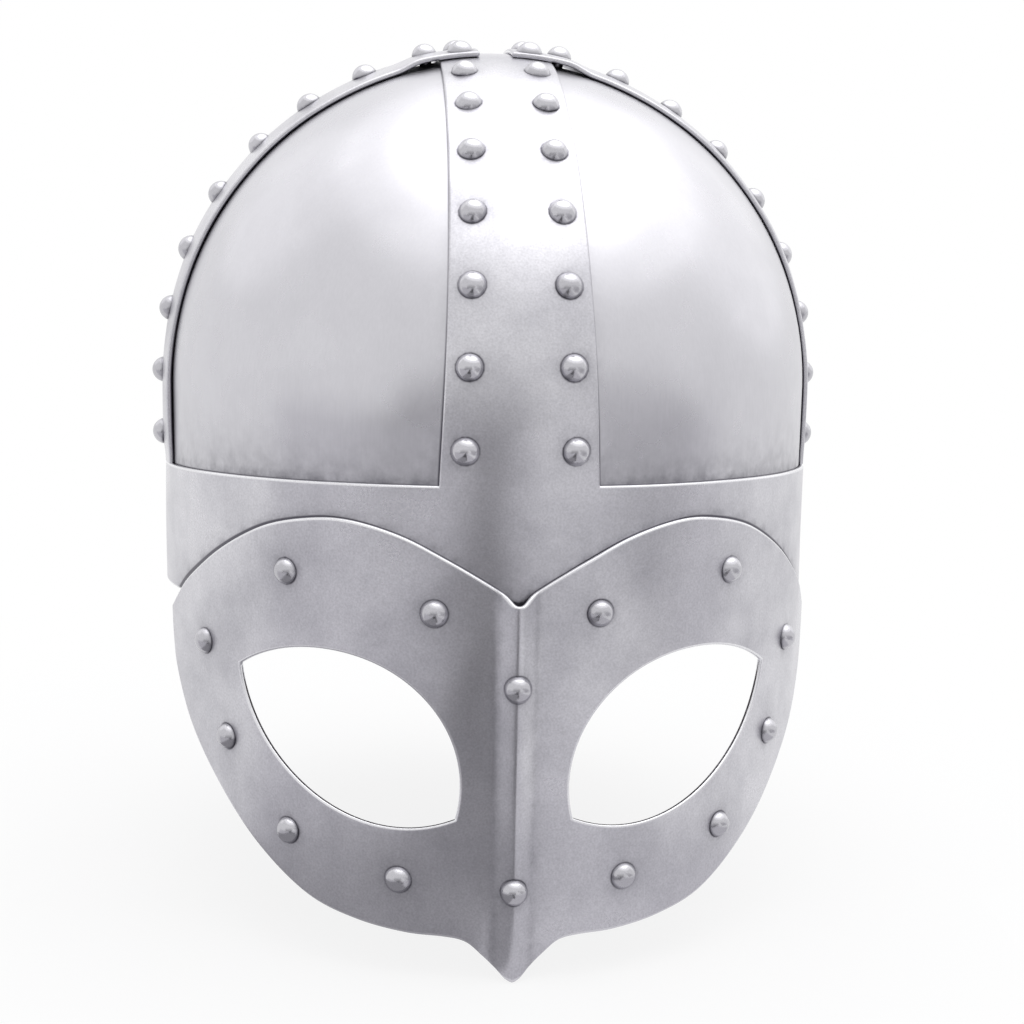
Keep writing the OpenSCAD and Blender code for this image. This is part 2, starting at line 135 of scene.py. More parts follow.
# Down a sheet's edge the painted shade starts EDGE_START deep; the mask has it only near its upper
# edge.
EDGE_SHARE, EDGE_START, EDGE_EASE, EDGE_ZONE = 0.9, 0.95, 0.5, 2.0
UNPOLISHED, INSIDE_PLAY = 0.1, 0.1
# The painted shade along the fore-and-aft strap's edges is full at its foot and fades further up.
FADE_START, FADE_EASE, FADE_LINE_SHIFT, FADE_SHARE = 5.0, 50.0, 0.4, 0.8

# Leather suspension: how far its straps hang under their layer, and how far the headband starts
# over the brow band's lower edge; the straps start as far again over that.
BAND_LEATHER, STRAP_LEATHER, LEATHER_WIDTH, LEATHER_PLAY = 2.5, 2.0, 28.0, 0.1
CROWN_DROP, LEATHER_RISE, HEADBAND_HEIGHT = 17.0, 4.0, 30.0
CROSS_DROP = CROWN_DROP + STRAP_LEATHER + LEATHER_PLAY
HEADBAND_INNER = -2 * SHEET - BAND_LEATHER
STITCH_RADIUS, STITCH_FLAT, STITCH_LONG = 0.5, 0.9, 3.4
STITCH_ROW, STITCH_COUNT, STITCH_FIRST, STITCH_PITCH = 9.5, 5, 4.0, 4.4


def band_top(y):
    return BAND_FRONT - BAND_SLOPE * (y + HALF_LENGTH)


def over_band(x, y, z):
    return z - band_top(y)


def rim(y, rise):
    """Height of a line that runs a given rise over the brow band's lower edge."""
    return min(0.0, band_top(y) - BAND_SIDE) + rise


def strap_half(z):
    return STRAP_TOP / 2 + STRAP_TAPER * (CROWN - z)


def side_half(z):
    return SIDE_TOP / 2 + SIDE_TAPER * (CROWN - z)


def side_mid(z):
    return -SIDE_SLANT * (CROWN - z)


def ease(t):
    """Runs smoothly from 0 to 1."""
    t = min(1.0, max(0.0, t))
    return t * t * (3 - 2 * t)


def hammered(x, y, z):
    """The unevenness that the hammer leaves in the sheet, from -1 to 1: two sets of crossed waves,
    the broad ones about 60 mm long and the close ones about 40 mm."""
    broad = sin(x / 8.7 + 0.9 * sin(z / 12.0)) * sin(z / 10.3 + y / 17.0 + 0.8)
    close = sin(y / 7.1 + x / 13.0 + 2.1) * sin(z / 6.3 + x / 21.0 + 0.4)
    return 0.6 * broad + 0.4 * close


def over_end(r, y):
    """Whether a point lies over one of the oval's two end arcs."""
    return abs(y) > END_SHIFT and r <= TURN_SLOPE * (abs(y) - END_SHIFT)


def on_form(x, y, z, layer):
    """The point of one layer of the skull's form that lies nearest to a point."""
    rise = max(z - WALL, 0.0)
    r = hypot(x, rise)
    end = copysign(END_SHIFT, y)
    if over_end(r, y):
        k = (END_RADIUS + layer) / hypot(r, y - end)
        new_r, new_y = r * k, end + (y - end) * k
    else:
        k = (SIDE_RADIUS + layer) / hypot(r + SIDE_SHIFT, y)
        new_r, new_y = (r + SIDE_SHIFT) * k - SIDE_SHIFT, y * k
    k = new_r / r if r else 1.0
    return x * k, new_y, WALL + rise * k if z > WALL else z


def strip_point(x, y, z, layer, along_x=False):
    """A point of a strip on the form that keeps its distance from the strip's middle line."""
    px, py = x, y
    for _ in range(6):
        p = on_form(px, py, z, layer)
        if along_x:
            py += y - p[1]
        else:
            px += x - p[0]
    return p


def round_oval(around, layer):
    """Point (x, y) of the oval at a share of the way round, from the rear."""
    turn = 2 * pi * around + pi / 2
    return on_form(HALF_WIDTH * cos(turn), HALF_LENGTH * sin(turn), 0.0, layer)[:2]


def layer_of(x, y, z):
    """How far a point lies outside the skull's form."""
    r = hypot(x, max(z - WALL, 0.0))
    if over_end(r, y):
        return hypot(r, abs(y) - END_SHIFT) - END_RADIUS
    return hypot(r + SIDE_SHIFT, y) - SIDE_RADIUS


def form_normal(x, y, z):
    a, b = Vector(on_form(x, y, z, 0.0)), Vector(on_form(x, y, z, 1.0))
    return (b - a).normalized()


def worked(x, y, z, depth):
    """A point moved out or in by the hammer's marks."""
    return Vector((x, y, z)) + form_normal(x, y, z) * hammered(x, y, z) * depth


def front_y(r, layer):
    """Front of the oval at the distance r from its long axis."""
    if r <= TURN_SIN * (END_RADIUS + layer):
        return -END_SHIFT - sqrt((END_RADIUS + layer) ** 2 - r * r)
    return -sqrt(max((SIDE_RADIUS + layer) ** 2 - (r + SIDE_SHIFT) ** 2, 0.0))


def strap_rise(s):
    """Height over the wall after the length s along the middle of the dome's side view."""
    if s < 0:
        return s
    if s < END_ARC:
        return END_RADIUS * sin(s / END_RADIUS)
    return SIDE_RADIUS * sin(TURN + (s - END_ARC) / SIDE_RADIUS) - SIDE_SHIFT


def over_crown(share, low_front, low_rear):
    """Point (y, z) of the middle line from the front over the crown to the rear."""
    front, rear = WALL - low_front, WALL - low_rear
    d = share * (front + 2 * QUARTER_ARC + rear) - front
    if d <= 0:
        return -HALF_LENGTH, WALL + d
    if d >= 2 * QUARTER_ARC:
        return HALF_LENGTH, WALL - (d - 2 * QUARTER_ARC)
    h = strap_rise(min(d, 2 * QUARTER_ARC - d))
    y = front_y(h, 0.0)
    return (y if d < QUARTER_ARC else -y), WALL + h


def up_side(d):
    """Point (x, z) of the dome's front view, at the length d from the top of the wall."""
    turn = max(d, 0.0) / HALF_WIDTH
    return HALF_WIDTH * cos(turn), WALL + (d if d < 0 else HALF_WIDTH * sin(turn))


# Materials.

def linear(hex_colour):
    parts = [int(hex_colour[i:i + 2], 16) / 255 for i in (1, 3, 5)]
    return [c / 12.92 if c <= 0.04045 else ((c + 0.055) / 1.055) ** 2.4 for c in parts] + [1.0]


def plug(tree, node, sockets):
    """Gives a node's sockets their values, or links them to an output or to a node's first one."""
    for name, value in sockets.items():
        if isinstance(value, bpy.types.Node):
            value = value.outputs[0]
        if isinstance(value, bpy.types.NodeSocket):
            tree.links.new(value, node.inputs[name])
        else:
            node.inputs[name].default_value = value


def add(tree, kind, sockets=None, **settings):
    """Adds a node with its settings and sockets."""
    made = tree.nodes.new(kind)
    for name, value in settings.items():
        setattr(made, name, value)
    plug(tree, made, sockets or {})
    return made


def new_material(name):
    material = bpy.data.materials.new(name)
    material.use_nodes = True
    tree = material.node_tree
    tree.nodes.clear()
    shader = add(tree, "ShaderNodeBsdfPrincipled")
    add(tree, "ShaderNodeOutputMaterial", {"Surface": shader})
    return material, tree, shader


def satin_steel(name, clean, dull, rough, grain_depth, fleck, grain=0.6, run=(1.0, 1.0, 1.0)):
    """Steel sheet ground to a satin: a soft broad gloss with a fine grain, drawn as coarse as it
    needs to show and stretched along run where it was brushed, in clouds about 30 mm across.
    Polishing black and painted shade go in patches about 5 mm across, and painted shadow lines
    along the edges of what sits on it."""
    material, tree, shader = new_material(name)
    place = add(tree, "ShaderNodeTexCoord").outputs["Object"]
    brushed = add(tree, "ShaderNodeVectorMath", {0: place, 1: run}, operation="MULTIPLY")
    fine = add(tree, "ShaderNodeTexNoise", {
        "Vector": brushed, "Scale": 1 / (grain * MM), "Detail": 3.0})
    cloud = add(tree, "ShaderNodeTexNoise", {
        "Vector": place, "Scale": 1 / (30 * MM), "Detail": 5.0, "Roughness": 0.6})
    patch = add(tree, "ShaderNodeTexNoise", {
        "Vector": place, "Scale": 1 / (5 * MM), "Detail": 4.0, "Roughness": 0.65})
    spread = add(tree, "ShaderNodeMapRange", {"Value": cloud, "From Min": 0.38, "From Max": 0.68})
    colour = add(tree, "ShaderNodeMix", {
        0: spread, 6: linear(clean), 7: linear(dull)}, data_type="RGBA")
    speckle = add(tree, "ShaderNodeMapRange", {
        "Value": fine, "From Min": 0.3, "From Max": 0.7, "To Min": 1 - fleck,
        "To Max": 1 + fleck / 2})
    tint = add(tree, "ShaderNodeVectorMath", {
        0: colour.outputs[2], 1: speckle}, operation="MULTIPLY")
    # Painted shade: contact shade near parts that meet, and painted shadow lines along their
    # edges, darken the colour towards black, together with polishing black.
    polish_and_shade, *shade_lines = (add(tree, "ShaderNodeAttribute", attribute_name=written).outputs["Fac"]
                     for written in ("polish_and_shade", "shade_line", "other_shade_line"))
    patchy = add(tree, "ShaderNodeMapRange", {
        "Value": patch, "From Min": 0.32, "From Max": 0.68, "To Min": 0.3})
    shade_patches = add(tree, "ShaderNodeMath", {0: polish_and_shade, 1: patchy}, operation="MULTIPLY")
    shade_line = add(tree, "ShaderNodeMath", {0: shade_lines[0], 1: shade_lines[1]}, operation="MAXIMUM")
    line = add(tree, "ShaderNodeMapRange", {
        "Value": shade_line, "From Min": 1 - SHADE_LINE_WIDTH / SHADE_LINE_REACH, "From Max": 1.0,
        "To Max": 0.9})
    black = add(tree, "ShaderNodeMath", {0: shade_patches, 1: line}, operation="MAXIMUM", use_clamp=True)
    base = add(tree, "ShaderNodeMix", {0: black, 6: tint, 7: linear(POLISH_AND_SHADE_BLACK)}, data_type="RGBA")
    gloss = add(tree, "ShaderNodeMapRange", {
        "Value": cloud, "From Min": 0.3, "From Max": 0.7, "To Min": rough - 0.04,
        "To Max": rough + 0.05})
    dulled = add(tree, "ShaderNodeMath", {0: black, 1: 0.15, 2: gloss}, operation="MULTIPLY_ADD")
    bump = add(tree, "ShaderNodeBump", {
        "Height": fine, "Strength": 0.5, "Distance": grain_depth * MM})
    plug(tree, shader, {"Metallic": 1.0, "Base Color": base.outputs[2], "Roughness": dulled,
                        "Normal": bump})
    return material


def filed_steel(name, bright, dull, rough):
    """A cut edge filed smooth and polished: brighter than the sheet, with file lines about 0.8 mm
    apart, with polishing black and painted shade where the points say so."""
    material, tree, shader = new_material(name)
    place = add(tree, "ShaderNodeTexCoord").outputs["Object"]
    lines = add(tree, "ShaderNodeTexNoise", {
        "Vector": place, "Scale": 1 / (0.8 * MM), "Detail": 2.0})
    tone = add(tree, "ShaderNodeMapRange", {
        "Value": lines, "To Min": rough - 0.06, "To Max": rough + 0.08})
    shade = add(tree, "ShaderNodeMix", {
        0: lines, 6: linear(bright), 7: linear(dull)}, data_type="RGBA")
    # Painted shade: the edge darkens towards black down its lower part, where the gap beneath it
    # lies.
    polish_and_shade = add(tree, "ShaderNodeAttribute", attribute_name="polish_and_shade").outputs["Fac"]
    base = add(tree, "ShaderNodeMix", {
        0: polish_and_shade, 6: shade.outputs[2], 7: linear(POLISH_AND_SHADE_BLACK)}, data_type="RGBA")
    plug(tree, shader, {"Metallic": 1.0, "Base Color": base.outputs[2], "Roughness": tone})
    return material


def oiled_leather(name, light, dark):
    """Vegetable-tanned cowhide, oiled: pebbled grain about 1.2 mm across, darker in its creases,
    with a soft gloss in clouds about 18 mm across."""
    material, tree, shader = new_material(name)
    place = add(tree, "ShaderNodeTexCoord").outputs["Object"]
    pebble = add(tree, "ShaderNodeTexVoronoi", {
        "Vector": place, "Scale": 1 / (1.2 * MM)}, feature="DISTANCE_TO_EDGE")
    cloud = add(tree, "ShaderNodeTexNoise", {
        "Vector": place, "Scale": 1 / (18 * MM), "Detail": 5.0})
    crease = add(tree, "ShaderNodeMapRange", {"Value": pebble, "From Max": 0.18})
    mixed = add(tree, "ShaderNodeMath", {0: crease, 1: cloud}, operation="MULTIPLY")
    shade = add(tree, "ShaderNodeMix", {
        0: mixed, 6: linear(dark), 7: linear(light)}, data_type="RGBA")
    tone = add(tree, "ShaderNodeMapRange", {"Value": cloud, "To Min": 0.5, "To Max": 0.72})
    bump = add(tree, "ShaderNodeBump", {"Height": crease, "Strength": 0.45, "Distance": 0.12 * MM})
    plug(tree, shader, {"Base Color": shade.outputs[2], "Roughness": tone, "Normal": bump})
    return material


def waxed_linen(name, light, dark):
    """Waxed linen thread, about 1 mm thick: a dull sheen, with its twist at 0.5 mm."""
    material, tree, shader = new_material(name)
    place = add(tree, "ShaderNodeTexCoord").outputs["Object"]
    twist = add(tree, "ShaderNodeTexNoise", {"Vector": place, "Scale": 1 / (0.5 * MM)})
    shade = add(tree, "ShaderNodeMix", {
        0: twist, 6: linear(dark), 7: linear(light)}, data_type="RGBA")
    bump = add(tree, "ShaderNodeBump", {"Height": twist, "Strength": 0.5, "Distance": 0.1 * MM})
    plug(tree, shader, {"Base Color": shade.outputs[2], "Roughness": 0.6, "Normal": bump})
    return material


SKULL_STEEL = satin_steel("brushed_steel_skull", "#cfced3", "#c9c8cd", rough=0.28,
                          grain_depth=0.004, fleck=0.025, run=(1.0, 1.0, 0.1))
BAND_STEEL = satin_steel("satin_steel_band", "#d4d3d8", "#bfbec4", rough=0.29,
                         grain_depth=0.042, fleck=0.12)
MASK_STEEL = satin_steel("satin_steel_mask", "#d3d2d7", "#bcbbc1", rough=0.3,
                         grain_depth=0.045, fleck=0.13)
RIVET_STEEL = satin_steel("satin_steel_rivet", "#c4c3c8", "#bab9be", rough=0.21,
                          grain_depth=0.006, fleck=0.04, grain=0.4)
EDGE_STEEL = filed_steel("filed_steel_edge", "#ebebee", "#d9d8dc", rough=0.22)
LEATHER = oiled_leather("oiled_leather", "#6b4527", "#2f1c10")
LEATHER_EDGE = oiled_leather("burnished_leather_edge", "#4a2d18", "#23140b")
THREAD = waxed_linen("waxed_linen_thread", "#cdb98f", "#8d7a55")


# Ways of working.

def only(piece):
    """Selects one piece and nothing else."""
    bpy.ops.object.select_all(action="DESELECT")
    piece.select_set(True)
    bpy.context.view_layer.objects.active = piece


def started(name, *materials):
    """Names the primitive just added and gives it its materials."""
    piece = bpy.context.object
    piece.name = piece.data.name = name
    for material in materials:
        piece.data.materials.append(material)
    return piece


def finish_with(piece, kind, **settings):
    """Applies a modifier."""
    only(piece)
    modifier = piece.modifiers.new(kind.lower(), kind)
    for name, value in settings.items():
        setattr(modifier, name, value)
    bpy.ops.object.modifier_apply(modifier=modifier.name)


def blank(name, columns, rows, bend, *materials):
    """A flat sheet of columns by rows, with each corner bent to bend(across, along)."""
    bpy.ops.mesh.primitive_grid_add(x_subdivisions=columns, y_subdivisions=rows, size=1)
    piece = started(name, *materials)
    for v in piece.data.vertices:
        v.co = Vector(bend(v.co.x + 0.5, v.co.y + 0.5)) * MM
    return piece


def edit(piece, *steps):
    """Runs edit-mode steps on all of a piece."""
    only(piece)
    bpy.ops.object.mode_set(mode="EDIT")
    bpy.ops.mesh.select_mode(type="VERT")
    bpy.ops.mesh.select_all(action="SELECT")
    for step in steps:
        step()
    bpy.ops.object.mode_set(mode="OBJECT")


def weld(piece, reach=WELD):
    """Merges the points of a piece that lie within reach of each other."""
    edit(piece, lambda: bpy.ops.mesh.remove_doubles(threshold=reach * MM))


def face_out(piece):
    """Turns an open sheet's faces away from the middle of the head."""
    middle = Vector((0, 0, 30)) * MM
    lean = sum(p.area * p.normal.dot(p.center - middle) for p in piece.data.polygons)
    if lean < 0:
        edit(piece, lambda: bpy.ops.mesh.flip_normals())


def thicken(piece, thickness, even=True):
    """Gives a bent sheet its thickness on the inner side, with its rim in the second material."""
    face_out(piece)
    finish_with(piece, "SOLIDIFY", thickness=thickness * MM, offset=-1, use_even_offset=even,
                material_offset_rim=1)


def file_edges(piece, width, segments=3, but=None, material=1):
    """Rounds the sharp edges of a piece, except where but(x, y, z) says so."""
    def pick_sharp():
        bpy.ops.mesh.select_mode(type="EDGE")
        bpy.ops.mesh.select_all(action="DESELECT")
        bpy.ops.mesh.edges_select_sharp(sharpness=radians(60))

    edit(piece, pick_sharp)
    mesh = piece.data
    if but:
        for edge in mesh.edges:
            a, b = (mesh.vertices[i].co for i in edge.vertices)
            if edge.select and but(*((a + b) / 2 / MM)):
                edge.select = False
    bpy.ops.object.mode_set(mode="EDIT")
    bpy.ops.mesh.bevel(offset=width * MM, segments=segments, profile=0.5, material=material,
                       affect="EDGES")
    bpy.ops.object.mode_set(mode="OBJECT")


def smooth(piece, angle=40):
    """Shades a piece smooth, with its flat faces kept flat."""
    only(piece)
    bpy.ops.object.shade_smooth_by_angle(angle=radians(angle))
    finish_with(piece, "WEIGHTED_NORMAL", keep_sharp=True, weight=60)


def mirrored(piece, name):
    """A copy of a piece for the other side of the helmet."""
    only(piece)
    bpy.ops.object.duplicate()
    other = started(name)
    edit(other, lambda: bpy.ops.transform.resize(value=(-1, 1, 1), center_override=(0, 0, 0)),
         lambda: bpy.ops.mesh.flip_normals())
    return other


def copied(pattern, moved):
    """A copy of a piece with its own mesh, moved by a matrix."""
    made = pattern.copy()
    made.data = pattern.data.copy()
    bpy.context.scene.collection.objects.link(made)
    made.data.transform(moved)
    return made


def joined(name, copies):
    """One piece of several copies."""
    only(copies[0])
    for made in copies:
        made.select_set(True)
    bpy.ops.object.join()
    return started(name)


def fitted(piece, slot, *nodes):
    """Hands a finished piece to the frame in place of its nodes."""
    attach(piece, "root")
    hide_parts(*nodes)


def write(piece, name, measure):
    """Writes a measure of each point, measure(x, y, z), for the materials to read."""
    values = piece.data.attributes.new(name, "FLOAT", "POINT")
    values.data.foreach_set("value", [measure(*(v.co / MM)) for v in piece.data.vertices])


def blacken(piece, inner, polish_and_shade, *gaps):
    """Tells how much polishing black and painted shade each point gets, and how near it lies to
    the edges of what sits on top of it, for the painted shadow lines there. The side that lies on
    the inner layer was never polished."""
    def outside(x, y, z):
        return layer_of(x, y, z) > inner + INSIDE_PLAY

    write(piece, "polish_and_shade", lambda x, y, z: polish_and_shade(x, y, z) if outside(x, y, z) else UNPOLISHED)
    for name, gap in zip(("shade_line", "other_shade_line"), gaps):
        write(piece, name,
              lambda x, y, z: 1 - gap(x, y, z) / SHADE_LINE_REACH if outside(x, y, z) else 0.0)


def corner_dark(gap, *traces):
    """Polishing black and painted shade at a gap from a corner, as the strongest of its traces."""
    return max(share * exp(-max(gap, 0.0) / reach) for share, reach in traces)


# Outline of half the mask and of its eye opening, in shares of the mask's sizes.

CORNER = (1.007 * MASK_HALF, -0.104 * MASK_DEPTH)
UPPER_EDGE = [(x * MASK_HALF, DIP + share * (LOBE - DIP)) for x, share in
              ((0, 0), (0.018, 0.02), (0.05, 0.157), (0.12, 0.357), (0.2, 0.562), (0.31, 0.81),
               (0.42, 0.957), (0.52, 1.0))]
UPPER_EDGE += [(x * MASK_HALF, share * LOBE) for x, share in
               ((0.62, 0.945), (0.71, 0.84), (0.79, 0.674), (0.86, 0.474), (0.92, 0.246),
                (0.965, 0.03))]
UPPER_EDGE.append(CORNER)
LOWER_EDGE = [CORNER]
LOWER_EDGE += [(x * MASK_HALF, -share * MASK_DEPTH) for x, share in
               ((1.003, 0.2), (0.99, 0.32), (0.944, 0.48), (0.862, 0.635), (0.744, 0.797),
                (0.595, 0.926), (0.451, 0.978), (0.308, 1.0))]
LOWER_EDGE += [(x * MASK_HALF, -MASK_DEPTH - share * POINT) for x, share in
               ((0.2, 0.02), (0.135, 0.12), (0.085, 0.45), (0.045, 0.76), (0.02, 0.94), (0, 1.0))]
EYE_UPPER = Vector((0.528 * MASK_HALF, -0.485 * MASK_DEPTH))
EYE_LOWER = Vector((0.349 * MASK_HALF, -0.134 * MASK_DEPTH))


def drawn(points, steps=12):
    """A smooth line through the points, with its length at each step."""
    line = []
    for i in range(len(points) - 1):
        a, b, c, d = (Vector(points[min(max(i + k, 0), len(points) - 1)]) for k in (-1, 0, 1, 2))
        for j in range(steps):
            t = j / steps
            line.append(0.5 * (2 * b + (c - a) * t + (2 * a - 5 * b + 4 * c - d) * t ** 2
                               + (3 * b - a - 3 * c + d) * t ** 3))
    line.append(Vector(points[-1]))
    lengths = [0.0]
    for a, b in zip(line, line[1:]):
        lengths.append(lengths[-1] + (b - a).length)
    return line, lengths


def along_line(drawn_line, share):
    """The point at a share of a drawn line's length."""
    line, lengths = drawn_line
    want = share * lengths[-1]
    for i in range(len(line) - 1):
        if want <= lengths[i + 1]:
            part = max(lengths[i + 1] - lengths[i], 1e-9)
            return line[i].lerp(line[i + 1], (want - lengths[i]) / part)
    return line[-1]


def eye_corners():
    """Where the two arcs of an eye opening meet: the inner corner and the outer one."""
    gap = EYE_LOWER - EYE_UPPER
    d = gap.length
    a = (EYE_UPPER_RADIUS ** 2 - EYE_LOWER_RADIUS ** 2 + d * d) / (2 * d)
    h = sqrt(EYE_UPPER_RADIUS ** 2 - a * a)
    middle, aside = EYE_UPPER + gap * a / d, Vector((-gap.y, gap.x)) / d * h
    return sorted((middle + aside, middle - aside), key=lambda p: p.x)


def arc_angle(centre, point):
    return atan2(point.y - centre.y, point.x - centre.x) % (2 * pi)


INNER, OUTER = eye_corners()
TOP_LINE, BOTTOM_LINE = drawn(UPPER_EDGE), drawn(LOWER_EDGE)
# The way round an eye has four parts: up the nose from its split, along the upper edge, along the
# lower edge, and up the nose to its split. Each has so many faces and a stretch of the eye's arcs,
# given by its middle, its radius and the angles at which it starts and ends.
PARTS = 40, 64, 84, 20
NOSE_SPLIT, UP_SPLIT, LOW_SPLIT = -60.0, radians(133), radians(260)
ARCS = ((EYE_UPPER, EYE_UPPER_RADIUS, arc_angle(EYE_UPPER, INNER), UP_SPLIT),
        (EYE_UPPER, EYE_UPPER_RADIUS, UP_SPLIT, arc_angle(EYE_UPPER, OUTER)),
        (EYE_LOWER, EYE_LOWER_RADIUS, arc_angle(EYE_LOWER, OUTER), LOW_SPLIT),
        (EYE_LOWER, EYE_LOWER_RADIUS, LOW_SPLIT, arc_angle(EYE_LOWER, INNER)))
# The faces crowd towards the nose on both edges. The rows round the eye crowd towards the outline,
# and more so along the nose, over a blend of a few faces.
TOP_CROWD, BOTTOM_CROWD = 0.55, 0.4
ROW_CROWD, NOSE_CROWD, NOSE_BLEND = 0.8, 1.5, 6


def crowded(t, crowd):
    return (1 - crowd) * t + crowd * t * t


def on_eye(part, t):
    """Point of the eye opening, at a share of one of its parts."""
    middle, radius, start, end = ARCS[part]
    angle = start + (end - start) * t
    return middle + Vector((cos(angle), sin(angle))) * radius


def on_outline(part, t):
    """Point of the half mask's outline, at a share of one of its parts."""
    if part == 1:
        return along_line(TOP_LINE, crowded(t, TOP_CROWD))
    if part == 2:
        return along_line(BOTTOM_LINE, 1 - crowded(1 - t, BOTTOM_CROWD))
    start, end = (-MASK_DEPTH - POINT, NOSE_SPLIT) if part else (NOSE_SPLIT, DIP)
    return Vector((0, start + (end - start) * t))


def mask_pair(share):
    """Matching points of the eye opening and of the outline, at a share of the way round."""
    part, k = 0, share * sum(PARTS)
    while part < len(PARTS) - 1 and k > PARTS[part]:
        k -= PARTS[part]
        part += 1
    return on_eye(part, k / PARTS[part]), on_outline(part, k / PARTS[part])


def nose_fold(x, z):
    """Front of the mask at x: the oval, or the round roof of the nose ridge where that is further
    out."""
    sheet_y = on_form(x, front_y(abs(x), SHEET), z, SHEET)[1]
    roof = -(HALF_LENGTH + SHEET + RIDGE_HEIGHT)
    roof += RIDGE_SLOPE * (hypot(x, RIDGE_ROUND) - RIDGE_ROUND)
    return (sheet_y + roof - hypot(sheet_y - roof, RIDGE_SOFT)) / 2


def mask_top(x):
    """Height of the mask's upper edge."""
    line = TOP_LINE[0]
    for a, b in zip(line, line[1:]):
        if a.x <= x <= b.x:
            return a.y + (b.y - a.y) * (x - a.x) / max(b.x - a.x, 1e-9)
    return -WALL


# Places of the rivets, each a point and an outward direction.

def on_skull(x, h, layer):
    """A place on the front of the skull, at the side distance x and the height h over the wall."""
    r = hypot(x, h) if h > 0 else abs(x)
    p = (x, front_y(r, layer), WALL + h)
    return p, form_normal(*p)


def flipped(places, x, y):
    return [tuple((x * v[0], y * v[1], v[2]) for v in place) for place in places]


def other_side(places):
    return flipped(places, -1, 1)


def behind(places):
    return flipped(places, 1, -1)


def both_sides(places):
    return places + other_side(places)


FRONT_START = BAND_FRONT + LONG_FIRST - WALL
LONG_PITCH = (QUARTER_ARC - LONG_LAST - FRONT_START) / (FRONT_COUNT - 1)
SIDE_START = BAND_MIDDLE + SIDE_FIRST - WALL
SIDE_REACH = acos(SIDE_LAST / (HALF_WIDTH + SHEET)) * HALF_WIDTH
SIDE_PITCH = (SIDE_REACH - SIDE_START) / (SIDE_COUNT - 1)


def strap_row(first, count):
    rises = [strap_rise(first + i * LONG_PITCH) for i in range(count)]
    return both_sides([on_skull(strap_half(WALL + h) - ROW_INSET, h, 0.0) for h in rises])


def side_place(i):
    """The last rivet of a side strap sits where the strap has climbed on the other one."""
    x, z = up_side(SIDE_START + i * SIDE_PITCH)
    p = on_form(x, side_mid(z), z, SIDE_LIFT if i < SIDE_COUNT - 1 else SHEET)
    return p, form_normal(*p)


front_rows = strap_row(FRONT_START, FRONT_COUNT)
rear_rows = behind(strap_row(FRONT_START - LONG_PITCH, REAR_COUNT))
side_row = [side_place(i) for i in range(SIDE_COUNT)]
crossing_x = STRAP_TOP / 2 - ROW_INSET
crossing_r = sqrt((SIDE_RADIUS + SHEET) ** 2 - CROSSING_Y ** 2) - SIDE_SHIFT
crossing = both_sides([on_skull(crossing_x, sqrt(crossing_r ** 2 - crossing_x ** 2), SHEET)])
crown_group = crossing + behind(crossing)
brow_places = both_sides([on_skull(x * MASK_HALF, z - WALL, SHEET) for x, z in
                          ((0.651, 0.465 * LOBE), (0.236, 0.717 * DIP))])
rim_places = both_sides([on_skull(x * MASK_HALF, z * MASK_DEPTH - WALL, SHEET) for x, z in
                         ((0.893, -0.152), (0.826, -0.46), (0.644, -0.719), (0.329, -0.815))])
nose_places = [((0, nose_fold(0, z * MASK_DEPTH) + RIDGE_SEAT, z * MASK_DEPTH), (0, -1, 0))
               for z in (-0.14, -0.83)]
rear_places = behind(both_sides([
    on_skull(x, band_top(-front_y(x, 0.0)) - BAND_SIDE / 2 - WALL, 0.0)
    for x in (0.3 * HALF_WIDTH, 0.8 * HALF_WIDTH)]))
strap_rivets = front_rows + rear_rows + crown_group
side_rivets = side_row + crown_group
mask_rivets = brow_places + rim_places + nose_places


# Where polishing black and painted shade go: shade painted where parts meet, along the nose fold
# and round the rivets.

def under(outer, x, y, z):
    """Painted shade down the edge of a sheet whose outer face lies at a layer."""
    return EDGE_SHARE * ease((outer - EDGE_START - layer_of(x, y, z)) / EDGE_EASE)


def rivet_gap(places, x, y, z):
    """Distance to the nearest rivet's head."""
    return min((Vector(p) - Vector((x, y, z))).length for p, _ in places) - HEAD_WIDTH / 2


# A ring of painted shade round each rivet's head, with polishing black.
def beside(places, x, y, z):
    return corner_dark(rivet_gap(places, x, y, z), *ROUND_RIVET)


def strap_shade_fade(z):
    """How far the painted shade along the fore-and-aft strap's edges has faded, from its foot
    upwards.
    """
    return ease((z - BAND_FRONT - FADE_START) / FADE_EASE)


def off_straps(x, y, z):
    """Distance from the straps' edges."""
    return min(abs(x) - strap_half(z) + FADE_LINE_SHIFT * strap_shade_fade(z),
               abs(y - side_mid(z)) - side_half(z))


def over_mask(x, y, z):
    return z - mask_top(abs(x)) if y < 0 else SHADE_LINE_REACH


# Painted shade on the skull above the band, beside the straps and in the corners between them,
# with polishing black.
def skull_black(x, y, z):
    over, aside = over_band(x, y, z), off_straps(x, y, z)
    low = corner_dark(over - CORNER_START, CORNER_RISE)
    return max(corner_dark(over, *ABOVE_BAND), low * corner_dark(aside, STRAP_CORNER),
               corner_dark(aside, BESIDE_STRAP))


# Painted shade on the band above the mask's edge, round the rear rivets and down its edge, with
# polishing black.
def band_black(x, y, z):
    above = corner_dark(over_mask(x, y, z), *ABOVE_MASK) if y < 0 else 0.0
    return max(above, beside(rear_places, x, y, z), under(0.0, x, y, z))


def strap_black(x, y, z):
    return max(beside(strap_rivets, x, y, z),
               under(0.0, x, y, z) * (1 - FADE_SHARE * strap_shade_fade(z)))


def side_black(x, y, z):
    return max(beside(side_rivets, x, y, z), under(CLIMB_PLAY, x, y, z))


# Painted shade in the creases beside the nose ridge, round the rivets and down the upper edge,
# with polishing black.
def mask_black(x, y, z):
    fold = corner_dark(abs(abs(x) - RIDGE_HALF) - FOLD_HALF, ALONG_FOLD)
    low = under(SHEET, x, y, z) if z > mask_top(abs(x)) - EDGE_ZONE else 0.0
    return max(fold, low, beside(mask_rivets, x, y, z))


# Skull halves: the oval is spun over the long axis, then the wall is drawn down to its rim.

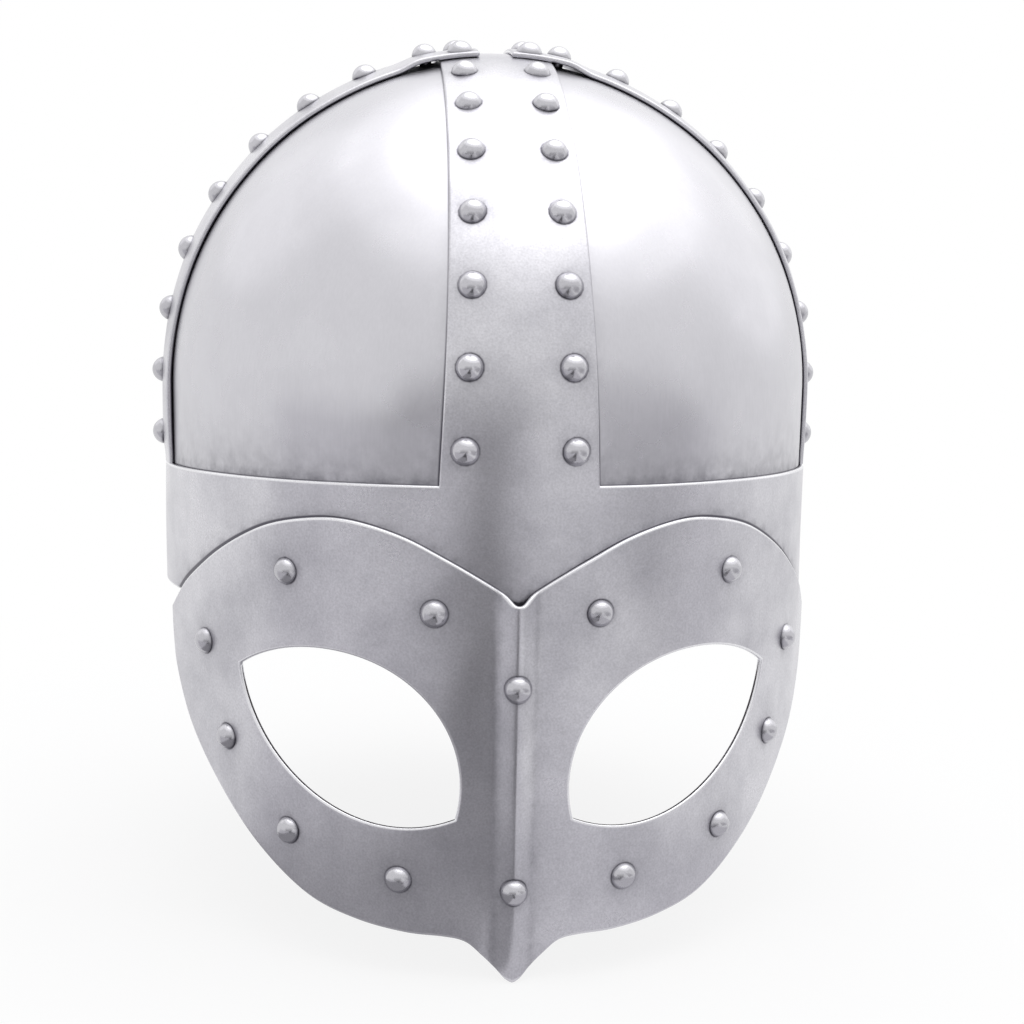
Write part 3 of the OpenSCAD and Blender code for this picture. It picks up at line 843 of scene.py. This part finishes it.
def skull_half(name):
    bpy.ops.mesh.primitive_circle_add(vertices=240, radius=HALF_LENGTH * MM)
    piece = started(name, SKULL_STEEL, EDGE_STEEL)
    cut = dict(plane_co=(SKULL_GAP / 2 * MM, 0, 0), plane_no=(1, 0, 0), clear_inner=True)
    edit(piece, lambda: bpy.ops.mesh.bisect(**cut))
    for v in piece.data.vertices:
        x, y, _ = v.co / MM
        v.co = Vector(on_form(x, y, WALL, -SHEET)) * MM
    edit(piece,
         lambda: bpy.ops.mesh.spin(steps=64, angle=pi / 2, center=(0, 0, WALL * MM),
                                   axis=(0, 1, 0)),
         lambda: bpy.ops.mesh.select_all(action="SELECT"),
         lambda: bpy.ops.mesh.bisect(**cut))
    for v in piece.data.vertices:
        v.select = abs(v.co.z - WALL * MM) < 1e-6
    for e in piece.data.edges:
        e.select = all(piece.data.vertices[i].select for i in e.vertices)
    for p in piece.data.polygons:
        p.select = False
    # Each row is first drawn far down, so that its depth tells which row it is.
    bpy.ops.object.mode_set(mode="EDIT")
    for _ in range(len(WALL_ROWS) + 1):
        bpy.ops.mesh.extrude_region_move(
            TRANSFORM_OT_translate={"value": (0, 0, -2 * WALL * MM)})
    bpy.ops.object.mode_set(mode="OBJECT")
    for v in piece.data.vertices:
        x, y, z = v.co / MM
        row = round((WALL - z) / (2 * WALL)) if z < 0 else 0
        if row > len(WALL_ROWS):
            v.co.z = rim(y, SKULL_SETBACK) * MM
            continue
        if row:
            z = band_top(y) + WALL_ROWS[row - 1]
        v.co = worked(x, y, z, SKULL_MARKS) * MM
    weld(piece, reach=0.4)
    thicken(piece, SHEET, even=False)
    smooth(piece)
    blacken(piece, -2 * SHEET, skull_black, over_band, off_straps)
    return piece


right_skull = skull_half("right_skull_half_sheet")
left_skull = mirrored(right_skull, "left_skull_half_sheet")
fitted(right_skull, "skull_steel", "right_skull_half")
fitted(left_skull, "skull_steel", "left_skull_half")


# Brow band: a hoop whose upper edge falls to the rear. Its edge stays square under a strap's foot.

def band_bend(around, up):
    x, y = round_oval(around, 0.0)
    foot = strap_half(band_top(y))
    gap = abs(x) - foot
    if abs(y) > FOOT_PLACE and abs(gap) < DRAWN_FROM:
        x = copysign(foot - (DRAWN_INSIDE if gap < 0 else 0.0), x)
        y = copysign(front_y(abs(x), 0.0), y)
    low = (1 - up) ** BAND_CROWD
    return worked(x, y, rim(y, 0.0) * low + band_top(y) * (1 - low), BAND_MARKS)


def at_seam(x, y, z):
    return abs(over_band(x, y, z)) < SEAM


def welded(x, y, z):
    return abs(y) > FOOT_PLACE and abs(x) < strap_half(z) - SEAM_INSET and at_seam(x, y, z)


band = blank("brow_band_hoop", 420, 16, band_bend, BAND_STEEL, EDGE_STEEL)
weld(band)
thicken(band, SHEET)
file_edges(band, width=0.7, segments=4, but=welded)
smooth(band)
blacken(band, -SHEET, band_black, over_mask, partial(rivet_gap, rear_places))
fitted(band, "band_steel", "brow_band")


# Fore-and-aft strap, from the band over the crown to the band.

def strap_bend(across, along):
    y, z = over_crown(along, band_top(-HALF_LENGTH), band_top(HALF_LENGTH))
    x, y, z = strip_point((2 * across - 1) * strap_half(z), y, z, 0.0)
    if along in (0.0, 1.0):
        z = band_top(y)
    return worked(x, y, z, BAND_MARKS)


strap = blank("fore_and_aft_strap", 24, 220, strap_bend, BAND_STEEL, EDGE_STEEL)
thicken(strap, SHEET)
file_edges(strap, width=0.7, segments=4, but=welded, material=0)
smooth(strap)
blacken(strap, -SHEET, strap_black, partial(rivet_gap, strap_rivets))
fitted(strap, "band_steel", "long_strap")


# Side straps: hollow across, so that their edges lie tight on the skull.

def side_bend(across, along):
    low = band_top(side_mid(BAND_MIDDLE))
    last = acos(SIDE_END / (HALF_WIDTH + SHEET))
    x, z = up_side(along * (WALL - low + HALF_WIDTH * last) - (WALL - low))
    aside = 2 * across - 1
    lift = SIDE_LIFT * (1 - SIDE_HOLLOW * aside * aside)
    lift += (SHEET + CLIMB_PLAY - lift) * ease((CLIMB_FOOT - x) / CLIMB_LENGTH)
    lift *= ease((z - low) / SIDE_SETTLE)
    x, y, z = on_form(x, side_mid(z) + aside * side_half(z), z, lift)
    z += (band_top(y) - low) * (1 - ease((z - low) / SIDE_SKEW))
    return worked(x, y, z, BAND_MARKS)


right_side = blank("right_side_strap_strip", 18, 140, side_bend, BAND_STEEL, EDGE_STEEL)
thicken(right_side, SHEET)
file_edges(right_side, width=0.6, but=at_seam, material=0)
smooth(right_side)
blacken(right_side, -SHEET, side_black, partial(rivet_gap, side_rivets))
left_side = mirrored(right_side, "left_side_strap_strip")
fitted(right_side, "band_steel", "right_side_strap")
fitted(left_side, "band_steel", "left_side_strap")


# Spectacle mask: each half is a ring of sheet round its eye, folded forward along the nose.

def mask_bend(out, around):
    eye, edge = mask_pair(around)
    k = around * sum(PARTS)
    nose = max(ease((PARTS[0] - k) / NOSE_BLEND), ease((k - sum(PARTS[:3])) / NOSE_BLEND))
    t = out ** ROW_CROWD * (1 - nose) + (1 - (1 - out) ** NOSE_CROWD) * nose
    p = eye.lerp(edge, t)
    x, z = max(p.x, 0.0), p.y
    y = nose_fold(x, z)
    marks = MASK_MARKS * ease((x - MARKS_START) / MARKS_EASE)
    return x, y + marks * hammered(x, y, z), z


mask = blank("spectacle_mask_sheet", 24, sum(PARTS), mask_bend, MASK_STEEL, EDGE_STEEL)
weld(mask)
finish_with(mask, "MIRROR", use_mirror_merge=True, merge_threshold=WELD * MM)
thicken(mask, SHEET)
file_edges(mask, width=0.75, segments=4)
smooth(mask, angle=50)
blacken(mask, 0.0, mask_black, partial(rivet_gap, mask_rivets))
fitted(mask, "mask_steel", "spectacle_mask")


# Rivets: each is turned in one piece, from its round head through the shank to the peened tail.

def rivet(stack, skirt):
    """A rivet whose head stands on the origin, through a stack of sheets."""
    head_radius = (HEAD_WIDTH ** 2 / 4 + HEAD_HEIGHT ** 2) / (2 * HEAD_HEIGHT)
    bpy.ops.mesh.primitive_uv_sphere_add(segments=28, ring_count=28, radius=head_radius * MM)
    piece = started("rivet", RIVET_STEEL)

    def pick_rim():
        bpy.ops.mesh.select_all(action="DESELECT")
        bpy.ops.mesh.select_non_manifold()

    def drop(z):
        bpy.ops.mesh.extrude_region_move(TRANSFORM_OT_translate={"value": (0, 0, z * MM)})

    def widen(scale):
        bpy.ops.mesh.extrude_region_move()
        bpy.ops.transform.resize(value=(scale, scale, 1), center_override=(0, 0, 0))

    def dome(scale, share):
        widen(scale)
        bpy.ops.transform.translate(value=(0, 0, -share * TAIL_HEIGHT * MM))

    raised = (0, 0, (HEAD_HEIGHT - head_radius) * MM)
    edit(piece, lambda: bpy.ops.transform.translate(value=raised),
         lambda: bpy.ops.mesh.bisect(plane_co=(0, 0, 0), plane_no=(0, 0, 1), clear_inner=True),
         pick_rim,
         lambda: drop(-skirt),
         lambda: widen(SHANK / HEAD_WIDTH),
         lambda: drop(skirt - stack - SHANK_PLAY),
         lambda: widen(TAIL_WIDTH / SHANK),
         lambda: drop(-TAIL_WALL * TAIL_HEIGHT),
         *(lambda step=step: dome(*step) for step in TAIL_DOME),
         lambda: bpy.ops.mesh.edge_face_add())
    only(piece)
    bpy.ops.object.shade_smooth_by_angle(angle=radians(42))
    # Painted shade at the foot of each rivet's head, with polishing black, fading upwards.
    write(piece, "polish_and_shade", lambda x, y, z: corner_dark(z, ON_RIVET))
    return piece


def set_rivets(name, node, places, stack, skirt=HEAD_SKIRT):
    """A rivet in each place, none of them quite straight or quite the same size."""
    pattern = rivet(stack, skirt)
    row = []
    for i, (point, out) in enumerate(places):
        lean = Vector((sin(7.3 * i), cos(5.1 * i), sin(3.7 * i + 1))) * LEAN
        turn = (Vector(out) + lean).normalized().to_track_quat("Z", "Y").to_matrix().to_4x4()
        size = Matrix.Diagonal((1 + WIDTH_SPREAD * sin(2.9 * i),
                                1 + WIDTH_SPREAD * cos(4.3 * i),
                                1 + HEIGHT_SPREAD * sin(6.1 * i), 1))
        row.append(copied(pattern, Matrix.Translation(Vector(point) * MM) @ turn @ size))
    fitted(joined(name, row), "rivet_steel", node)
    bpy.data.objects.remove(pattern)


set_rivets("front_strap_rivet_row", "front_strap_rivets", front_rows, 2 * SHEET)
set_rivets("rear_strap_rivet_row", "rear_strap_rivets", rear_rows, 2 * SHEET)
set_rivets("crown_rivet_group", "crown_rivets", crown_group, 3 * SHEET)
set_rivets("right_strap_rivet_row", "right_strap_rivets", side_row, 2 * SHEET + SIDE_LIFT)
set_rivets("left_strap_rivet_row", "left_strap_rivets", other_side(side_row),
           2 * SHEET + SIDE_LIFT)
set_rivets("mask_brow_rivet_group", "mask_brow_rivets", brow_places, 3 * SHEET + BAND_LEATHER)
set_rivets("rear_brow_rivet_group", "rear_brow_rivets", rear_places, 2 * SHEET + BAND_LEATHER)
set_rivets("mask_rim_rivet_ring", "mask_rim_rivets", rim_places, SHEET)
set_rivets("nose_rivet_pair", "nose_rivets", nose_places, SHEET + RIDGE_STACK, RIDGE_SKIRT)


# Leather suspension: a headband inside the brow band, and two straps that cross under the crown.

def headband_bend(around, up):
    x, y = round_oval(around, -2 * SHEET)
    return x, y, rim(y, LEATHER_RISE) + HEADBAND_HEIGHT * up


headband = blank("leather_headband", 240, 8, headband_bend, LEATHER, LEATHER_EDGE)
weld(headband)
thicken(headband, BAND_LEATHER)
file_edges(headband, width=0.8)
smooth(headband)
fitted(headband, "liner_leather", "liner_headband")


def long_leather_bend(across, along):
    front, rear = rim(-HALF_LENGTH, 2 * LEATHER_RISE), rim(HALF_LENGTH, 2 * LEATHER_RISE)
    y, z = over_crown(along, front + CROWN_DROP, rear + CROWN_DROP)
    x, y, z = strip_point((across - 0.5) * LEATHER_WIDTH, y, z, HEADBAND_INNER)
    return x, y, z - CROWN_DROP


def cross_leather_bend(across, along):
    side = WALL - rim(0.0, 2 * LEATHER_RISE) - CROSS_DROP
    d = along * (2 * side + pi * HALF_WIDTH) - side
    turn = min(max(d / HALF_WIDTH, 0.0), pi)
    z = WALL + HALF_WIDTH * sin(turn) + min(d, 0.0) + min(pi * HALF_WIDTH - d, 0.0)
    x, y, z = strip_point(HALF_WIDTH * cos(turn), (across - 0.5) * LEATHER_WIDTH, z,
                          HEADBAND_INNER, along_x=True)
    return x, y, z - CROSS_DROP


for name, bend, node in (("leather_long_strap", long_leather_bend, "liner_long_strap"),
                         ("leather_cross_strap", cross_leather_bend, "liner_cross_strap")):
    leather = blank(name, 10, 150, bend, LEATHER, LEATHER_EDGE)
    thicken(leather, STRAP_LEATHER)
    file_edges(leather, width=0.6)
    smooth(leather)
    fitted(leather, "liner_leather", node)


# The straps' ends are sewn to the headband with two rows of thread each.

bpy.ops.mesh.primitive_uv_sphere_add(segments=8, ring_count=6, radius=STITCH_RADIUS * MM)
stitch = started("stitch", THREAD)
edit(stitch, lambda: bpy.ops.transform.resize(value=(1, STITCH_FLAT, STITCH_LONG),
                                              center_override=(0, 0, 0)))
stitches = []
for side_x, side_y in ((0, -1), (0, 1), (-1, 0), (1, 0)):
    for row in (-STITCH_ROW, STITCH_ROW):
        x, y = (row, side_y * HALF_LENGTH) if side_y else (side_x * HALF_WIDTH, row)
        low = rim(y, 2 * LEATHER_RISE) + STITCH_FIRST
        for i in range(STITCH_COUNT):
            place = on_form(x, y, low + STITCH_PITCH * i,
                            HEADBAND_INNER - STRAP_LEATHER - LEATHER_PLAY)
            stitches.append(copied(stitch, Matrix.Translation(Vector(place) * MM)))
sewing = joined("headband_stitches", stitches)
bpy.ops.object.shade_smooth()
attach(sewing, "root")
bpy.data.objects.remove(stitch)

crown_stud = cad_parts["liner_crown_rivet"]
crown_stud.data.materials.clear()
crown_stud.data.materials.append(RIVET_STEEL)


# Stage: a pale floor in a white room, with soft lamps overhead and cards that the steel reflects.

def to_eye_and_gloss(tree):
    """1 for what the camera sees, straight or in metal, and 0 for what lights the helmet."""
    path = add(tree, "ShaderNodeLightPath")
    seen = path.outputs["Is Camera Ray"]
    for ray in ("Is Glossy Ray", "Is Transmission Ray"):
        seen = add(tree, "ShaderNodeMath", {0: seen, 1: path.outputs[ray]}, operation="MAXIMUM")
    return seen


# The floor lies a hair under the helmet, and the cards on it are thinner than that gap.
WHITE, FLOOR_GAP, CARD_STEP = (1, 1, 1, 1), 0.0002, 0.00004
FLOOR = cad_low.z - FLOOR_GAP
bpy.ops.mesh.primitive_plane_add(size=12)
material, tree, shader = new_material("pale_floor")
floor = started("pale_floor", material)
for v in floor.data.vertices:
    v.co.z = FLOOR
floor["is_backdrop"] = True
plug(tree, shader, {"Base Color": linear("#f4f4f6"), "Roughness": 0.9})
# To the eye the floor is nearly white, with a faint shadow that fades outwards, until the floor
# runs into the white room.
place = add(tree, "ShaderNodeTexCoord").outputs["Object"]
flat = add(tree, "ShaderNodeVectorMath", {0: place, 1: (1.0, 1.0, 0.0)}, operation="MULTIPLY")
far = add(tree, "ShaderNodeVectorMath", {0: flat}, operation="LENGTH")
white = add(tree, "ShaderNodeMapRange", {
    "Value": far.outputs["Value"], "From Min": 0.1, "From Max": 0.35, "To Min": 0.84},
    interpolation_type="SMOOTHSTEP")
share = add(tree, "ShaderNodeMath", {0: white, 1: to_eye_and_gloss(tree)}, operation="MULTIPLY")
ground = add(tree, "ShaderNodeEmission", {"Color": WHITE})
both = add(tree, "ShaderNodeMixShader", {0: share, 1: shader, 2: ground})
plug(tree, tree.nodes["Material Output"], {"Surface": both})


def card(name, corners, colour, fade=None):
    """A lit card that only the steel sees; it may fade to white between two heights."""
    bpy.ops.mesh.primitive_plane_add(size=1)
    material, tree, _ = new_material(name)
    glow = add(tree, "ShaderNodeEmission", {"Color": linear(colour)})
    if fade:
        place = add(tree, "ShaderNodeTexCoord").outputs["Object"]
        height = add(tree, "ShaderNodeSeparateXYZ", {0: place}).outputs["Z"]
        share = add(tree, "ShaderNodeMapRange", {
            "Value": height, "From Min": fade[0], "From Max": fade[1]})
        mixed = add(tree, "ShaderNodeMix", {
            0: share, 6: linear(colour), 7: WHITE}, data_type="RGBA")
        plug(tree, glow, {"Color": mixed.outputs[2]})
    plug(tree, tree.nodes["Material Output"], {"Surface": glow})
    piece = started(name, material)
    for v, corner in zip(piece.data.vertices, corners):
        v.co = corner
    piece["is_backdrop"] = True
    piece.visible_camera = piece.visible_diffuse = piece.visible_shadow = False


def sloping(x0, x1, y0, z0, y1, z1):
    """Corners of a card from the line y0, z0 to the line y1, z1."""
    return (x0, y0, z0), (x1, y0, z0), (x0, y1, z1), (x1, y1, z1)


def lying(x0, x1, y0, y1, sheets):
    """Corners of a card on the floor, so many sheets up."""
    z = FLOOR + CARD_STEP * sheets
    return sloping(x0, x1, y0, z, y1, z)


card("grey_card", lying(-2.0, 1.37, -1.2, -0.06, 1), "#dcdbdf")
card("far_card", lying(-1.29, -0.637, -1.198, -0.754, 2), "#525154")
card("right_card", sloping(0.24, 1.8, -0.25, FLOOR + 2 * CARD_STEP, -1.2, 0.6), "#bcbbbf",
     fade=(-0.134, 0.512))
card("dark_card", lying(-0.128, 0.007, -1.2, -0.16, 3), "#59585b")
card("white_card", lying(0.153, 0.3, -1.04, -0.05, 3), "#ffffff")
card("near_card", lying(-0.147, -0.01, -0.282, -0.04, 4), "#a4a3a7")
card("upright_card", sloping(-1.16, 0.28, -1.3, FLOOR, -1.3, 0.555), "#929195",
     fade=(-0.147, 0.555))


def softbox(name, place, width, level):
    """A round soft lamp that looks at the helmet; its face has a level, where 1 is white."""
    data = bpy.data.lights.new(name, "AREA")
    data.shape, data.size = "DISK", width
    data.energy = level * pi * pi * width * width / 4
    lamp = bpy.data.objects.new(name, data)
    bpy.context.scene.collection.objects.link(lamp)
    lamp.location = place
    aim = Vector((0, 0, 0.1)) - Vector(place)
    lamp.rotation_euler = aim.to_track_quat("-Z", "Y").to_euler()
    lamp.visible_camera = False


softbox("overhead_wide", (0.2, 0.1, 1.3), 2.8, 0.4)
softbox("overhead_middle", (0.2, 0.15, 1.3), 1.6, 1.0)
softbox("right_softbox", (1.35, 0.9, 0.9), 1.8, 0.3)
softbox("left_softbox", (-1.25, 0.95, 1.1), 1.4, 0.25)
softbox("rear_softbox", (0.1, 1.8, 0.75), 2.4, 0.08)

# The room is white to the eye, and lights the helmet at a lower level.
world = bpy.data.worlds.new("white_studio")
bpy.context.scene.world = world
world.use_nodes = True
sky = world.node_tree
sky.nodes.clear()
level = add(sky, "ShaderNodeMapRange", {
    "Value": to_eye_and_gloss(sky), "To Min": 0.6, "To Max": 1.0})
room = add(sky, "ShaderNodeBackground", {"Color": WHITE, "Strength": level})
add(sky, "ShaderNodeOutputWorld", {"Surface": room})

# Camera: a little to the left, level with the crown and looking slightly down. Distances are in
# metres, angles in radians and the focal length in pixels of the photo's frame.
DISTANCE, SIDE, HEIGHT = 0.72, 0.0886, 0.16523
DOWN, TURNED, ROLL = 0.208, 0.1013, 0.0203
FOCUS, PIXELS, SENSOR = 2283.65, 1024, 36
camera_data = bpy.data.cameras.new("photo_camera")
camera = bpy.data.objects.new("photo_camera", camera_data)
bpy.context.scene.collection.objects.link(camera)
forward = Vector((sin(TURNED) * cos(DOWN), cos(TURNED) * cos(DOWN),
                  -sin(DOWN)))
right = Vector((cos(TURNED), -sin(TURNED), 0))
up = right.cross(forward)
right, up = (right * cos(ROLL) + up * sin(ROLL),
             up * cos(ROLL) - right * sin(ROLL))
turned = Matrix((right, up, -forward)).transposed().to_4x4()
spot = Matrix.Translation((-DISTANCE * sin(SIDE), -DISTANCE * cos(SIDE), HEIGHT))
camera.matrix_world = spot @ turned
camera_data.sensor_width = SENSOR
camera_data.lens = FOCUS / PIXELS * SENSOR
camera_data.clip_start, camera_data.clip_end = 0.05, 50
bpy.context.scene.camera = camera
bpy.context.scene.view_settings.view_transform = "Standard"

low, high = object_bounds()
